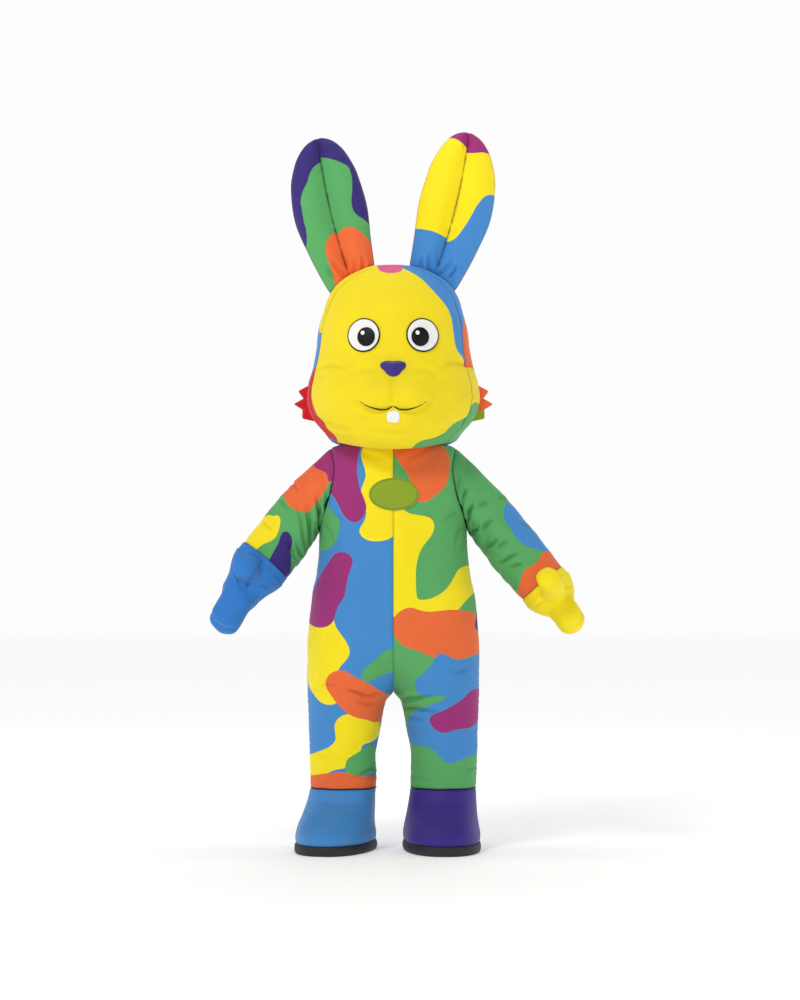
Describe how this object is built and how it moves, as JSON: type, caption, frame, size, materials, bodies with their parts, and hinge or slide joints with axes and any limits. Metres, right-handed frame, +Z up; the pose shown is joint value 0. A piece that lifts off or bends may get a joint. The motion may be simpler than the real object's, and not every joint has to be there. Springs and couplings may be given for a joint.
{
  "type": "rabbit mascot costume",
  "caption": "Hollow full-body rabbit costume in puffed stretch cloth with a big head, stuffed upright ears, gloves and soled boots, in a standing pose with the arms held out and down.",
  "frame": {"origin": "middle of the wearer's shoulder line, at the base of the neck, where the costume hangs", "axes": "+Z up, the front faces -Y, +X to the wearer's left"},
  "size_m": [1.1617, 0.5524, 2.2349],
  "materials": {
    "print_cloth": "puffed short-pile stretch cloth printed with large rounded blobs in seven colours",
    "yellow_cloth": "satin-matte stretch cloth",
    "blue_cloth": "satin-matte stretch cloth",
    "purple_cloth": "satin-matte stretch cloth",
    "green_cloth": "satin-matte stretch cloth",
    "red_cloth": "satin-matte stretch cloth",
    "white_cloth": "smooth felt-backed vinyl cloth",
    "black_cloth": "smooth felt-backed vinyl cloth",
    "black_rubber": "moulded foam rubber, matte"
  },
  "bodies": {
    "root": {"suit_front_left": "print_cloth", "suit_front_right": "print_cloth", "suit_back_left": "print_cloth", "suit_back_right": "print_cloth", "back_placket": "print_cloth", "sleeve_left": "print_cloth", "sleeve_right": "print_cloth", "chest_badge": "green_cloth", "glove_left": "yellow_cloth", "glove_right": "blue_cloth", "boot_left": "purple_cloth", "boot_right": "blue_cloth", "sole_left": "black_rubber", "sole_right": "black_rubber", "head_face": "yellow_cloth", "head_back": "print_cloth", "ear_left_inner": "print_cloth", "ear_left_outer": "print_cloth", "ear_left_back": "print_cloth", "ear_right_inner": "print_cloth", "ear_right_outer": "print_cloth", "ear_right_back": "print_cloth", "cheek_tuft_left": "green_cloth", "cheek_tuft_right": "red_cloth", "eye_left": "white_cloth", "eye_right": "white_cloth", "pupil_left": "black_cloth", "pupil_right": "black_cloth", "nose": "purple_cloth", "teeth": "white_cloth"}
  },
  "joints": []
}
